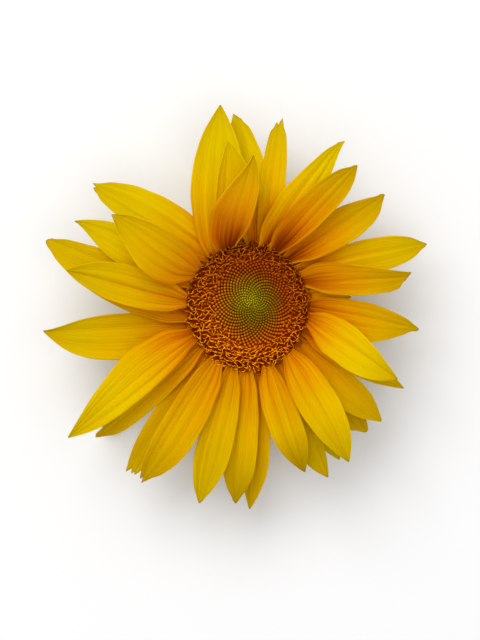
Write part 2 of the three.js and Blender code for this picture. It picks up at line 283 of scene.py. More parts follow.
# tip: half its width, then how far its edge lies back from the tip, from the right edge to the left
petalTips = {
    "sharp": (0.3, ((-1, 0), (1, 0))),
    "snub": (1.3, ((-1, 1.6), (-0.3, 0.2), (0.2, 0), (1, 1.8))),
    "round": (2.4, ((-1, 2.6), (-0.5, 0.7), (0, 0), (0.5, 0.7), (1, 2.6))),
    "slant": (2.0, ((-1, 3.2), (0.8, 0), (1, 0.6))),
    "slantRight": (1.3, ((-1, 0.6), (-0.7, 0), (1, 2.6))),
    "twoTeeth": (2.1, ((-1, 3.9), (-0.5, 0), (0.3, 3.8), (0.68, 2.5), (1, 4.2))),
    "twoTeethLeft": (2.0, ((-1, 2.2), (-0.5, 0), (-0.1, 2.6), (0.4, 1.6), (1, 3.6))),
    "threeTeeth": (3.0, ((-1, 1.4), (-0.8, 0), (-0.3, 3.0), (0.1, 0.5), (0.4, 2.2), (0.7, 0.9), (1, 2.8))),
    "splitTip": (2.0, ((-1, 3.0), (-0.6, 1.7), (-0.3, 3.2), (0.15, 0), (1, 3.0))),
}


# root and tip directions, the tip's distance, how broad it is to the left and to the right, layer, rise
# to the tip, arch, sides and tip; then its colour from root to tip (0 red-brown, 0.3 orange, 0.5 golden,
# 1 yellow), where the lower roots of the upper petals paint shade into their claws; how bright and green
# it is, the brightness partly painted light and shade; how much painted shade darkens it towards its tip,
# how cupped it is, and its main grooves as places across with strengths
def petal(root, direction, reach, left, right, level, rise, arch, sides=("leaf", "leaf"), tip="sharp",
          warm=(0.1, 1.0), tone=1.0, green=1.0, tipShade=0.0, cup=1.0, grooves=((0.35, 0.6), (-0.35, 0.6))):
    return {"root": root, "direction": direction, "reach": reach, "left": left, "right": right,
            "level": level, "rise": rise, "arch": arch, "sides": sides, "tip": tip, "warm": warm,
            "tone": tone, "green": green, "tipShade": tipShade, "cup": cup, "grooves": grooves}


petals = [
    petal(120, 97.8, 102.2, 13.7, 13, 2, 3, 5,
          warm=(0.2, 1.3), green=1.05, grooves=((0.18, 0.5), (-0.3, 0.5), (0.65, 0.3))),
    petal(84, 93.3, 97.9, 9, 11, 1, -3, 4, ("leaf", "leaf"), "slant",
          warm=(0.05, 1.15), green=1.05, grooves=((-0.1, 0.4), (0.4, 0.3))),
    petal(112, 97, 82.2, 5.2, 13.2, 3, 21, 5, ("leaf", "round"),
          warm=(0.05, 0.95), tone=1.04, grooves=((0.15, 0.3), (-0.3, 0.3), (-0.65, 0.3))),
    petal(106, 88, 74, 13.6, 7.2, 4, 33.5, 7, ("cone", "round"),
          warm=(-0.03, 0.68), tone=0.93, cup=1.5, grooves=((0.12, 0.5), (-0.45, 0.4), (0.6, 0.4))),
    petal(76, 80.3, 96.6, 5.6, 6.9, 2, 0, 4, ("late", "leaf"), "twoTeeth",
          warm=(0.06, 1.0), green=1.02, grooves=((0.1, 0.6), (-0.5, 0.3))),
    petal(72.5, 60.4, 96.2, 10.2, 6.5, 3, 5, 4, ("straight", "hollow"), "slantRight",
          warm=(-0.06, 1.2), tone=1.06, green=1.06, grooves=((0.3, 0.7), (-0.25, 0.7))),
    petal(63, 52.4, 88.6, 9.6, 7.0, 4, 16, 5, ("leaf", "late"), "snub",
          warm=(-0.09, 0.76), tone=0.84, cup=1.3, grooves=((0.3, 0.6), (-0.2, 0.8), (-0.65, 0.5))),
    petal(50, 39.5, 88.4, 7.6, 10.2, 3, 7, 4, ("hollow", "late"), "snub",
          warm=(-0.05, 0.83), tone=0.85, grooves=((0.05, 0.7), (-0.45, 0.4))),
    petal(36, 19.4, 95.4, 8.4, 8.6, 2, -1, 4, ("late", "late"), "snub",
          warm=(0.06, 1.1), tone=0.96, grooves=((0.15, 0.6), (-0.4, 0.5))),
    petal(24, 10.7, 82.6, 9.3, 8.2, 4, 13, 4, ("wedge", "full"), "slant",
          warm=(0.05, 0.67), tone=0.79, grooves=((0.0, 0.6), (-0.5, 0.3))),
    petal(11, 5.5, 52, 5, 4, 1, 0, 2, warm=(0.15, 0.9), tone=1.12),
    petal(0, -7.5, 86.3, 8, 11.6, 3, 4, 4, ("leaf", "hollow"), "snub",
          warm=(0.1, 0.75), tone=0.87, grooves=((0.1, 0.8), (-0.35, 0.6), (0.6, 0.5))),
    petal(-12, -25.8, 82.3, 10, 10.2, 4, 13, 5, ("straight", "round"),
          warm=(0.12, 1.2), tone=1.01, grooves=((0.1, 1.2), (-0.4, 0.4), (0.55, 0.4))),
    petal(-22, -27.5, 88.2, 6, 7.4, 2, 0, 4, warm=(0.1, 0.9), tone=0.97),
    petal(-34, -40.5, 88.6, 7, 10, 1, -4, 4, ("late", "round"),
          warm=(0.15, 0.75), tone=0.95, grooves=((0.2, 0.4), (-0.3, 0.4))),
    petal(-41, -46.3, 87.5, 6.4, 9, 0, -9, 2, ("full", "full"), "round",
          warm=(0.2, 0.85), tone=0.88, grooves=((0.2, 0.8), (-0.3, 0.4))),
    petal(-50, -57, 91.8, 11, 8.8, 4, 11, 5, ("round", "leaf"),
          warm=(0.18, 1.0), tone=0.96, tipShade=0.12, grooves=((0.15, 1.0), (-0.35, 0.8), (0.6, 0.3))),
    petal(-55, -59, 90.0, 6.5, 6.5, 0, -7, 3, ("full", "full"), warm=(0.2, 1.0), tone=0.93, green=1.1),
    petal(-60, -64.8, 94.8, 4.8, 9.8, 1, -3, 4, ("late", "full"),
          warm=(0.15, 1.0), tone=0.87, grooves=((0.3, 0.4), (-0.3, 0.4))),
    petal(-70, -71, 87.2, 6.8, 10.3, 3, 5, 4, ("late", "round"),
          warm=(0.21, 0.74), tone=0.93, tipShade=0.35, grooves=((-0.35, 1.1), (0.15, 0.7))),
    petal(-79, -89.5, 102.3, 8, 7.5, 0, -8, 3, ("late", "leaf"),
          warm=(0.2, 0.8), tone=0.9, grooves=((0.2, 0.4), (-0.3, 0.6))),
    petal(-91, -93.6, 99.2, 8.5, 8.6, 1, -2, 4, ("late", "late"), "snub",
          warm=(0.24, 0.78), tone=0.96, tipShade=0.3, grooves=((0.3, 0.5), (-0.3, 0.6))),
    petal(-105, -103.9, 101.4, 9.6, 8.2, 2, 3, 4, ("lean", "late"), "snub",
          warm=(0.26, 0.93), tone=0.88, grooves=((-0.5, 0.9), (-0.1, 0.6), (0.35, 0.5))),
    petal(-121, -121.4, 102.9, 12.4, 7.2, 3, 7, 5, ("lean", "round"), "splitTip",
          warm=(0.26, 0.7), tone=0.87, tipShade=0.15, grooves=((-0.45, 0.7), (-0.05, 0.6), (0.4, 0.7))),
    petal(-132, -125.2, 103.1, 8, 7.2, 1, -3, 4, ("late", "late"), "threeTeeth",
          warm=(0.18, 0.85), tone=0.92, grooves=((0.3, 0.4), (-0.3, 0.4))),
    petal(-141, -139.5, 100.6, 8.2, 5.5, 2, 1, 3, ("full", "spur"), "snub",
          warm=(0.18, 0.8), tone=0.94, grooves=((0.25, 0.5), (-0.4, 0.4))),
    petal(-150, -144, 110.4, 7.3, 15, 4, 12, 5, ("late", "straight"),
          warm=(0.12, 1.25), tone=0.97, grooves=((0.4, 1.0), (-0.1, 1.0), (-0.45, 0.5))),
    petal(-165, -173.3, 104, 16.5, 6.6, 1, -4, 4, ("round", "hollow"),
          warm=(0.15, 1.1), tone=0.88, grooves=((0.0, 0.6), (0.4, 0.5), (0.65, 0.7))),
    petal(174, 168.7, 91.5, 9.6, 10.2, 4, 14, 5, ("leaf", "round"),
          warm=(0.21, 1.0), tone=0.92, grooves=((0.0, 2.0), (-0.5, 0.6), (0.55, 0.5))),
    petal(184, 161.8, 107, 13.3, 10, 2, 0, 4, ("leaf", "leaf"), "round",
          warm=(0.12, 1.1), tone=0.93, grooves=((0.15, 0.5), (-0.35, 0.4))),
    petal(157, 153.6, 96.6, 8.8, 9.8, 3, 5, 4, ("hollow", "round"),
          warm=(0.15, 1.2), tone=0.99, green=1.04, grooves=((-0.45, 0.8), (0.1, 0.5))),
    petal(144, 146, 81, 15.6, 8.4, 4, 24, 6, ("straight", "leaf"), "snub",
          warm=(0.18, 0.98), tone=0.96, cup=1.3,
          grooves=((0.2, 0.7), (-0.15, 0.5), (0.55, 0.4), (-0.6, 0.4))),
    petal(127, 142, 100, 8, 13.8, 1, -1, 5, ("leaf", "leaf"), "twoTeethLeft",
          warm=(0.15, 1.3), tone=0.95, green=1.05, grooves=((0.15, 0.7), (-0.3, 0.5), (0.6, 0.3))),
]


# How broad one side of a petal is along its length, as a share of its broadest
def sideShare(side, within):
    widest, claw, point, taper = petalSides[side]
    before = np.clip((widest - within) / widest, 0, None)
    after = np.clip((within - widest) / (1 - widest), 0, 1)
    return (1 - (1 - claw) * before ** 2.4) * (1 - after ** point) ** taper


def petalSurface(plan, chance):
    look = petalLook
    tipHalf, tipEdge = petalTips[plan["tip"]]
    start = polar(look["root"], plan["root"])
    way = polar(plan["reach"], plan["direction"]) - start
    length = np.linalg.norm(way)
    left = np.array([-way[1], way[0], 0]) / length
    leftAtClaw = polar(1, plan["root"] + 90)
    mark, phase = chance.uniform(0, 1), chance.uniform(0, 6.3)
    twist, curl = chance.uniform(-0.05, 0.05), chance.uniform(-1, 1)
    grooves = [(place, look["grooveHalf"] * chance.uniform(0.8, 1.2), strength, chance.uniform(0, 6.3))
               for place, strength in plan["grooves"]]
    grooves += [(chance.uniform(-0.85, 0.85), chance.uniform(0.04, 0.07), chance.uniform(0.08, 0.22),
                 chance.uniform(0, 6.3)) for faint in range(look["faintGrooves"])]

    def surface(along, across):
        within = np.clip(along, 0, 1)
        leftHalf, rightHalf = [tipHalf + (plan[key] - tipHalf) * sideShare(side, within)
                               for key, side in zip(("left", "right"), plan["sides"])]
        halfWidth = np.where(across > 0, leftHalf, rightHalf)
        halfWidth *= look["clawShare"] + (1 - look["clawShare"]) * smoothStep(along, -0.02, 0.15)
        wander = np.sin(17 * along + phase + 2.4 * np.sign(across))
        wander += 0.6 * np.sin(29 * along + 2 * phase * across)
        halfWidth = halfWidth * (1 + look["edgeWander"] * wander * smoothStep(within, 0.1, 0.3))
        back = np.interp(across, *zip(*tipEdge)) / length
        travel = along - back * smoothStep(along, look["tipFrom"], 1.0)
        hump = 4 * travel * (1 - travel)
        crease = np.sqrt(np.clip(np.sin(math.pi * within), 0, None))
        # depth shapes the grooves; groove marks the narrower middle of each, where painted shade falls
        depth, groove = np.zeros(len(along)), np.zeros(len(along))
        for place, half, strength, bend in grooves:
            aside = across - place - look["grooveWander"] * np.sin(4 * along + bend)
            depth += strength * np.exp(-(aside / half) ** 2)
            groove += strength * np.exp(-(aside / (0.4 * half)) ** 2)
        rim = smoothStep(np.abs(across), look["rimFrom"], 1.0)
        wave = look["rimWave"] * np.sin(11 * along + phase + np.sign(across))
        rimWave = rim * (look["rimCurl"] * curl + wave)
        height = look["levelStep"] * plan["level"] + plan["rise"] * travel + plan["arch"] * hump
        height += look["clawTrough"] * across ** 2 * np.exp(-within / look["clawLength"])
        height += look["sway"] * hump * np.sin(7 * along + 2 * phase)
        cup = plan["cup"] * look["cup"] * (plan["left"] + plan["right"]) * across ** 2
        relief = look["grooveDepth"] * (0.6 - depth) + rimWave + cup + twist * halfWidth * across
        height += crease * relief
        turn = smoothStep(along, 0, look["turnTo"])[:, None]
        sideways = leftAtClaw * (1 - turn) + left * turn
        points = start + way * travel[:, None] + sideways * (halfWidth * across)[:, None]
        points[:, 2] = height
        warmRoot, warmTip = plan["warm"]
        warm = warmRoot + (warmTip - warmRoot) * within
        # painted shade in the trough of a low claw: darkest in its middle, lighter towards its edges
        if warmRoot < look["shadedClaw"]:      # a dark claw is darkest in its middle
            warm = warm + look["clawTroughShade"] * across ** 2 * np.exp(-within / look["troughShadeLength"])
        # painted shade darkens some petals towards their tips
        tone = plan["tone"] * (1 - plan["tipShade"] * smoothStep(within, look["tipShadeFrom"], 1.0))
        marks = {"along": within, "across": across, "groove": groove, "mark": mark, "tone": tone,
                 "green": plan["green"], "warm": warm}
        return points, marks
    return surface


def petalMaterial():
    material, tree, shader = newMaterial("petalTissue", 0.55, **{
        "Specular IOR Level": 0.22, "Specular Tint": (1.0, 0.75, 0.0, 1), "Subsurface Weight": 0.3,
        "Subsurface Radius": (1.0, 0.4, 0.02), "Subsurface Scale": 0.0015,
    })
    tints = petalColours
    along, mark = attributeNode(tree, "along"), attributeNode(tree, "mark")
    groove, warm = attributeNode(tree, "groove"), attributeNode(tree, "warm")
    slow = noiseNode(tree, "UV", (3, 1.1, 1), 2.0, variety=mark)
    streaks = noiseNode(tree, "UV", (20, 0.9, 1), 3.0, 0.6, variety=mark)
    fine = noiseNode(tree, "UV", (75, 1.4, 1), 2.0, variety=mark)
    mottle = noiseNode(tree, "Object", (45, 45, 45), 2.0)
    wander = mathNode(tree, "MULTIPLY", mathNode(tree, "SUBTRACT", slow, 0.5), 0.2)
    streakWander = mathNode(tree, "MULTIPLY", mathNode(tree, "SUBTRACT", streaks, 0.5), 0.25)
    # the claw's red-brown runs out along the petal, and painted shade in the grooves carries it further
    # there than between them
    warmth = mathNode(tree, "SUBTRACT", warm, mathNode(tree, "MULTIPLY", groove, 0.06))
    warmth = mathNode(tree, "ADD", warmth, mathNode(tree, "ADD", wander, streakWander))
    colour = rampNode(tree, warmth, tints["warmth"])
    # painted shade darkens every petal towards its tip
    colour = tintNode(tree, fadeNode(tree, along, 0.5, 1.0), colour, tints["tip"])
    # thin red lines that run together towards the claw
    clawLines = fadeNode(tree, noiseNode(tree, "UV", (11, 0.35, 1), 2.0, variety=mark), 0.5, 0.6)
    clawLines = mathNode(tree, "MULTIPLY", clawLines, fadeNode(tree, along, 0.42, 0.08))
    colour = tintNode(tree, mathNode(tree, "MULTIPLY", clawLines, 0.55), colour, tints["clawLine"])
    # painted shade darkens the grooves
    grooveShade = mathNode(tree, "MULTIPLY", groove, fadeNode(tree, along, 0.1, 0.9, 0.45, 0.28))
    colour = tintNode(tree, grooveShade, colour, tints["groove"])
    # streaks and veins, dark all over and pale on the blade alone
    onBlade = fadeNode(tree, warm, 0.08, 0.38)
    paleStreaks = mathNode(tree, "MULTIPLY", onBlade, fadeNode(tree, streaks, 0.44, 0.3, 0.0, 0.38))
    paleVeins = mathNode(tree, "MULTIPLY", onBlade, fadeNode(tree, fine, 0.45, 0.32, 0.0, 0.35))
    colour = tintNode(tree, fadeNode(tree, streaks, 0.46, 0.7, 0.0, 0.3), colour, tints["darkStreak"])
    colour = mixNode(tree, paleStreaks, colour, tints["paleStreak"])
    colour = tintNode(tree, fadeNode(tree, fine, 0.5, 0.75, 0.0, 0.2), colour, tints["darkVein"])
    colour = mixNode(tree, paleVeins, colour, tints["paleVein"])
    colour = tintNode(tree, fadeNode(tree, mottle, 0.4, 0.75, 0.0, 0.3), colour, tints["mottle"])
    colour = tintNode(tree, fadeNode(tree, along, 0.97, 1.0, 0.0, 0.3), colour, tints["dryTip"])
    # edges with painted shade, orange-red, along the claw and a painted highlight along the blade
    across = mathNode(tree, "ABSOLUTE", attributeNode(tree, "across"))
    edgeLightAndShade = mixNode(tree, fadeNode(tree, along, 0.2, 0.55), tints["clawEdgeShade"], tints["bladeEdgeHighlight"])
    colour = mixNode(tree, fadeNode(tree, across, 0.88, 1.0, 0.0, 0.6), colour, edgeLightAndShade)
    tree.links.new(toneNode(tree, colour), shader.inputs["Base Color"])
    veins = mathNode(tree, "MULTIPLY", fine, 0.35)
    ribs = mathNode(tree, "ADD", mathNode(tree, "MULTIPLY", streaks, 0.65), veins)
    ribs = mathNode(tree, "SUBTRACT", ribs, mathNode(tree, "MULTIPLY", clawLines, 0.4))
    bumpNode(tree, shader, ribs, 0.7, 0.001)
    return material


def makePetals():
    chance = random.Random(petalLook["seed"])
    material = petalMaterial()
    look = petalLook
    for index, plan in enumerate(petals):
        surface = petalSurface(plan, chance)
        piece = gridPiece(look["columns"], look["rows"], surface, look["firstRow"], look["crowding"])
        applyModifier(piece, "SOLIDIFY", thickness=look["thickness"] * mm, offset=0.0)
        finishPiece(piece, f"petal_{index + 1:02d}", material, "ray_petals")
    print("petals made:", len(petals))


# Round bodies, drawn up ring by ring from a circle

def extrudeRings(rings, centre, unit=1.0):
    radius, height = rings[0]
    for nextRadius, nextHeight in rings[1:]:
        move = (0, 0, (nextHeight - height) * unit)
        bpy.ops.mesh.extrude_region_move(TRANSFORM_OT_translate={"value": move})
        grow = nextRadius / radius
        bpy.ops.transform.resize(value=(grow, grow, 1), center_override=centre)
        radius, height = nextRadius, nextHeight


def makeNormalsConsistent():
    bpy.ops.mesh.select_all(action="SELECT")
    bpy.ops.mesh.normals_make_consistent(inside=False)
    bpy.ops.object.mode_set(mode="OBJECT")


# rings from the underside up and in again; a closed loop of rings has its ends merged instead of filled
def turnedPiece(rings, sides, loop=False):
    deselectAll()
    bpy.ops.mesh.primitive_circle_add(vertices=sides, radius=rings[0][0] * mm, location=(0, 0, 0),
                                      fill_type="NOTHING" if loop else "NGON")
    piece = bpy.context.object
    bpy.ops.object.mode_set(mode="EDIT")
    bpy.ops.mesh.select_all(action="SELECT")
    bpy.ops.transform.translate(value=headMiddle + Vector((0, 0, rings[0][1] * mm)))
    extrudeRings(rings, headMiddle, mm)
    if loop:
        bpy.ops.mesh.select_all(action="SELECT")
        bpy.ops.mesh.remove_doubles(threshold=0.01 * mm)
    makeNormalsConsistent()
    return piece


# Disc

discLook = {
    "first": 0.45, "closest": 1.08, "widening": 0.03, "edge": 30.4, "goldenAngle": 137.508,
    "packing": 0.93, "shift": (2.8, 1.0), "lean": (-0.7, 0.5), "stretch": (0.935, 1.01),
    "face": 5.4, "slope": 0.07, "ringRise": 4.4, "ringFrom": (14, 24), "edgeFall": 2.2, "edgeFrom": 25,
    "openFrom": 20.8, "openSway": 1.8, "openSwayFrom": 20, "openSpread": 1.2, "tones": (0.8, 1.15),
    "roughness": 0.55, "seed": 31,
}

# how much the light changes round the disc, and how green it is: mean, change and greenest direction
shadeLook = {
    "change": 0.08, "changeStep": 0.011, "brightest": 150, "brightestTurn": 4.2,
    "innerGreen": (1.09, 0.09, 100), "outerGreen": (0.8, 0.15, 230), "innerToOuter": (14, 19),
}


# Height of the disc's face: a low dome of buds inside a raised ring of open florets
def discFace(radius):
    look = discLook
    rise = look["ringRise"] * smoothStep(radius, *look["ringFrom"])
    fall = look["edgeFall"] * smoothStep(radius, look["edgeFrom"], discRadius)
    return float(look["face"] - look["slope"] * radius + rise - fall)


def floretSpacing(radius):
    return discLook["closest"] + discLook["widening"] * radius


# Florets on the golden-angle spiral: the distance on the spiral and the place on the disc
def floretPlaces():
    look = discLook
    places = []
    radius = look["first"]
    while radius < look["edge"]:
        place = polar(radius, len(places) * look["goldenAngle"]) * np.array([*look["stretch"], 1])
        place[:2] += np.array(look["shift"]) * (1 - (radius / look["edge"]) ** 2) + np.array(look["lean"])
        places.append((radius, place))
        radius += look["packing"] * floretSpacing(radius) ** 2 / (2 * math.pi * radius)
    return places


# Painted light and shade on the florets at a place, and how green they are: darkest on the right of the
# middle and at the top of the ring, greenest towards the top of the middle, reddest on the upper right of
# the ring
def floretShade(radius, around):
    look = shadeLook
    brightest = math.radians(look["brightest"] + look["brightestTurn"] * radius)
    tone = 1 + (look["change"] + look["changeStep"] * radius) * math.cos(around - brightest)
    inner, outer = [mean + change * math.cos(around - math.radians(greenest))
                    for mean, change, greenest in (look["innerGreen"], look["outerGreen"])]
    return tone, inner + (outer - inner) * float(smoothStep(radius, *look["innerToOuter"]))


# One mesh from many placed copies of small models, with marks carried per point
def scattered(name, copies):
    corners, faces, marks, offset = [], [], {}, 0
    for (modelPoints, modelFaces), matrix, values in copies:
        corners.append(modelPoints @ matrix[:3, :3].T + matrix[:3, 3])
        faces.extend([tuple(corner + offset for corner in face) for face in modelFaces])
        for key, value in values.items():
            marks.setdefault(key, []).append(np.broadcast_to(value, (len(modelPoints),)))
        offset += len(modelPoints)
    mesh = bpy.data.meshes.new(name)
    mesh.from_pydata(intoFrame(np.vstack(corners)).tolist(), [], faces)
    markPoints(mesh, {key: np.concatenate(values) for key, values in marks.items()})
    piece = bpy.data.objects.new(name, mesh)
    bpy.context.collection.objects.link(piece)
    return piece


# The model's points and faces are taken over, and the object goes
def takeModel(piece):
    points = np.array([vertex.co for vertex in piece.data.vertices])
    faces = [tuple(polygon.vertices) for polygon in piece.data.polygons]
    bpy.data.objects.remove(piece, do_unlink=True)
    return points, faces


# A closed bud, 1 wide and 1 high, folded at its top into the five lobes to come
def budModel(sides, folds):
    deselectAll()
    bpy.ops.mesh.primitive_uv_sphere_add(segments=sides, ring_count=6, radius=0.5)
    piece = bpy.context.object
    for vertex in piece.data.vertices:
        point = vertex.co
        fold = 1 + folds * math.cos(5 * math.atan2(point.y, point.x)) * max(0, point.z)
        vertex.co = (point.x * fold, point.y * fold, point.z + 0.5 if point.z > -0.1 else -0.6)
    return takeModel(piece)


# A round stalk of rings, closed at both ends
def stalkModel(rings, sides):
    deselectAll()
    bpy.ops.mesh.primitive_circle_add(vertices=sides, radius=rings[0][0], fill_type="NGON")
    piece = bpy.context.object
    bpy.ops.object.mode_set(mode="EDIT")
    bpy.ops.mesh.select_all(action="SELECT")
    bpy.ops.transform.translate(value=(0, 0, rings[0][1]))
    extrudeRings(rings, (0, 0, 0))
    makeNormalsConsistent()
    return takeModel(piece)


budLook = {
    "width": 0.84, "height": 1.05, "youngHeight": 1.2, "youngTo": 10.0, "sunk": 0.3, "lean": 0.15,
    "topLight": 0.25, "topLightTo": 18,
}

# corolla and anther as radius and height, ring by ring; stigma arms as curl, length, lean and swing
floretLook = {
    "corolla": ((0.3, 0), (0.36, 1.2), (0.52, 2.1), (0.72, 2.75), (0.5, 2.5)), "corollaSides": 10,
    "rimFrom": 2.7, "lobeWidth": 0.22, "lobeHeight": 0.18, "anther": ((0.3, 1.5), (0.33, 2.6), (0.2, 3.0)),
    "antherSides": 6, "litFrom": 2.6, "depth": 3.2, "rise": 0.9,
    "lean": 0.1, "outerLean": 0.8, "leanFrom": 22, "leanWithin": 8, "armThickness": 0.43, "armSides": 5,
    "armSteps": 6, "armNarrowing": 0.97, "armEndNarrowing": 0.78, "mouth": 2.7, "armTone": 1.05,
    "arms": (
        (1.3, 2.6, 0.6, 0.12), (2.0, 2.9, 0.5, -0.2), (3.6, 2.9, 0.4, 0.3), (0.9, 2.2, 0.7, -0.05),
        (4.8, 2.8, 0.4, -0.35), (2.6, 2.3, 0.2, 0.25),
    ),
}


# The corolla of an open floret: a tube that widens into five lobes and closes again inside
def corollaModel():
    look = floretLook
    points, faces = stalkModel(look["corolla"], look["corollaSides"])
    around = np.arctan2(points[:, 1], points[:, 0])
    lobe = np.where(points[:, 2] > look["rimFrom"], np.cos(5 * around), 0)
    points[:, :2] *= (1 + look["lobeWidth"] * lobe)[:, None]
    points[:, 2] += look["lobeHeight"] * lobe
    return points, faces


# One of two stigma arms: it leaves the floret's mouth, bows outwards, swings aside and curls back under
def armModel(curl, length, lean, swing):
    look = floretLook
    steps = look["armSteps"]
    deselectAll()
    bpy.ops.mesh.primitive_circle_add(vertices=look["armSides"], radius=look["armThickness"] / 2,
                                      fill_type="NGON")
    piece = bpy.context.object
    bpy.ops.object.mode_set(mode="EDIT")
    bpy.ops.mesh.select_all(action="SELECT")
    heading, place = lean, Vector((0, 0, look["mouth"]))
    bpy.ops.transform.translate(value=place)
    for step in range(steps):
        heading += curl / steps
        move = Vector((math.sin(heading), 0, math.cos(heading))) * (length / steps)
        bpy.ops.mesh.extrude_region_move(TRANSFORM_OT_translate={"value": move})
        place = place + move
        bpy.ops.transform.rotate(value=-curl / steps, orient_axis="Y", center_override=place)
        narrow = look["armNarrowing" if step < steps - 2 else "armEndNarrowing"]
        bpy.ops.transform.resize(value=(narrow, narrow, narrow), center_override=place)
    makeNormalsConsistent()
    points, faces = takeModel(piece)
    points[:, 1] += swing * points[:, 0] ** 2
    return points, faces


# A copy's matrix: scaled, turned on its axis, leaning one way and moved to its place
def placing(place, height, turn, leanWay, lean, size=(1, 1, 1)):
    tilt = Matrix.Rotation(lean, 4, Vector((-math.sin(leanWay), math.cos(leanWay), 0)))
    move = Matrix.Translation((place[0], place[1], height))
    return np.array(move @ tilt @ Matrix.Rotation(turn, 4, "Z") @ Matrix.Diagonal((*size, 1)))


# colours from the middle of the disc to its edge; the first is painted shade at the foot of every floret,
# in the dark red-brown of the gaps between them
footShadeStops = ((0.0, (0.2, 0.1, 0.0)), (0.45, (0.24, 0.05, 0.0)), (0.8, (0.34, 0.02, 0.0)),
            (1.0, (0.32, 0.014, 0.0)))
budStops = ((0.0, (0.46, 0.38, 0.001)), (0.3, (0.37, 0.265, 0.001)), (0.5, (0.38, 0.17, 0.001)),
            (0.75, (0.5, 0.145, 0.001)), (1.0, (0.6, 0.14, 0.001)))
corollaStops = ((0.6, (0.36, 0.034, 0.001)), (1.0, (0.32, 0.027, 0.001)))
antherStops = ((0.6, (0.24, 0.02, 0.001)), (1.0, (0.22, 0.018, 0.001)))
stigmaStops = ((0.6, (0.84, 0.31, 0.002)), (1.0, (0.98, 0.42, 0.002)))


def discMaterial(name, stops, shadeTop):
    material, tree, shader = newMaterial(name, discLook["roughness"], **{
        "Specular IOR Level": 0.25, "Specular Tint": (1.0, 0.5, 0.05, 1),
    })
    fromMiddle = attributeNode(tree, "fromMiddle")
    footShade = rampNode(tree, fromMiddle, footShadeStops)
    colour = rampNode(tree, fromMiddle, stops)
    # each floret fades from painted shade at its foot into its own colour towards its top
    colour = mixNode(tree, fadeNode(tree, attributeNode(tree, "upward"), 0.0, shadeTop), footShade, colour)
    spots = noiseNode(tree, "Object", (1500, 1500, 1500), 2.0)
    colour = tintNode(tree, fadeNode(tree, spots, 0.4, 0.7, 0.0, 0.6), colour, (0.7, 0.5, 0.3))
    tree.links.new(toneNode(tree, colour), shader.inputs["Base Color"])
    return material


def discModels():
    look = floretLook
    return {
        "youngBud": budModel(8, 0.0), "bud": budModel(10, 0.3), "corolla": corollaModel(),
        "anther": stalkModel(look["anther"], look["antherSides"]),
        "arms": [armModel(*shape) for shape in look["arms"]],
        "armShare": np.repeat(np.linspace(0, 1, look["armSteps"] + 1), look["armSides"]),
    }


# A closed bud at its spot, with painted light brightest towards the top of the disc
def budCopy(models, spot, chance):
    look = budLook
    radius, around = spot["radius"], spot["around"]
    spacing = floretSpacing(radius)
    young = radius < look["youngTo"]
    model = models["youngBud" if young else "bud"]
    tall = spacing * look["youngHeight" if young else "height"]
    size = (spacing * look["width"], spacing * look["width"], tall)
    height = spot["height"] - look["sunk"] * tall
    matrix = placing(spot["place"], height, chance.uniform(0, 6.3), around, look["lean"], size)
    light = 1 + look["topLight"] * max(0, 1 - radius / look["topLightTo"]) * math.sin(around + 0.3)
    marks = {"tone": spot["tone"] * light, "green": spot["green"],
             "fromMiddle": radius / discLook["openFrom"] * 0.95, "upward": np.clip(model[0][:, 2], 0, 1)}
    return model, matrix, marks


# An open floret at its spot: its corolla, its anthers and its two stigma arms
def floretCopies(models, spot, chance):
    look = floretLook
    radius, place, around = spot["radius"], spot["place"], spot["around"]
    beyond = max(0.0, (radius - look["leanFrom"]) / look["leanWithin"])
    lean = look["lean"] + look["outerLean"] * beyond ** 1.4 + chance.uniform(-0.15, 0.15)
    leanWay = around + chance.uniform(-0.3, 0.3)
    turn = around + chance.choice((0, 0, 0, math.pi / 2)) + chance.uniform(-0.7, 0.7) - leanWay
    base = spot["height"] - look["depth"] + min(look["rise"], spot["openness"] * 0.3)
    matrix = placing(place, base, turn, leanWay, lean)
    marks = {"tone": spot["tone"], "green": spot["green"], "fromMiddle": radius / discRadius, "upward": 1.0}
    lit = np.clip(models["corolla"][0][:, 2] / look["litFrom"], 0, 1)
    arms = []
    for half in (0, math.pi):
        arm = chance.choice(models["arms"])
        armMatrix = placing(place, base, turn + half + chance.uniform(-0.5, 0.5), leanWay, lean)
        armTone = look["armTone"] * spot["shade"] * chance.uniform(0.7, 1.2)
        arms.append((arm, armMatrix, {**marks, "tone": armTone, "upward": models["armShare"]}))
    return (models["corolla"], matrix, {**marks, "upward": lit}), (models["anther"], matrix, marks), arms


# Buds from the middle out, then open florets
def makeDisc():
    look = discLook
    chance = random.Random(look["seed"])
    models = discModels()
    buds, corollas, anthers, stigmas = [], [], [], []
    for radius, place in floretPlaces():
        around = math.atan2(place[1], place[0])
        fromMiddle = math.hypot(place[0], place[1])
        shade, green = floretShade(fromMiddle, around)
        spot = {"radius": radius, "place": place, "around": around, "height": discFace(fromMiddle),
                "shade": shade, "green": green, "tone": shade * chance.uniform(*look["tones"])}
        sway = look["openSway"] * math.cos(around - math.radians(look["openSwayFrom"]))
        spread = chance.uniform(-look["openSpread"], look["openSpread"])
        spot["openness"] = radius - look["openFrom"] - sway + spread
        if spot["openness"] < 0:
            buds.append(budCopy(models, spot, chance))
            continue
        corolla, anther, arms = floretCopies(models, spot, chance)
        corollas.append(corolla)
        anthers.append(anther)
        stigmas += arms
    for name, copies, stops, shadeTop, node, slotName in (
        ("closed_buds", buds, budStops, 0.75, "disc_buds", "bud"),
        ("floret_corollas", corollas, corollaStops, 0.9, "open_florets", "open_floret"),
        ("floret_anthers", anthers, antherStops, 0.01, "open_florets", "open_floret"),
        ("floret_stigmas", stigmas, stigmaStops, 0.5, "open_florets", "open_floret"),
    ):
        material = discMaterial(name, stops, shadeTop)
        finishPiece(scattered(name, copies), name, material, node)
    print("disc made:", len(buds), "buds,", len(corollas), "open florets,", len(stigmas), "stigma arms")


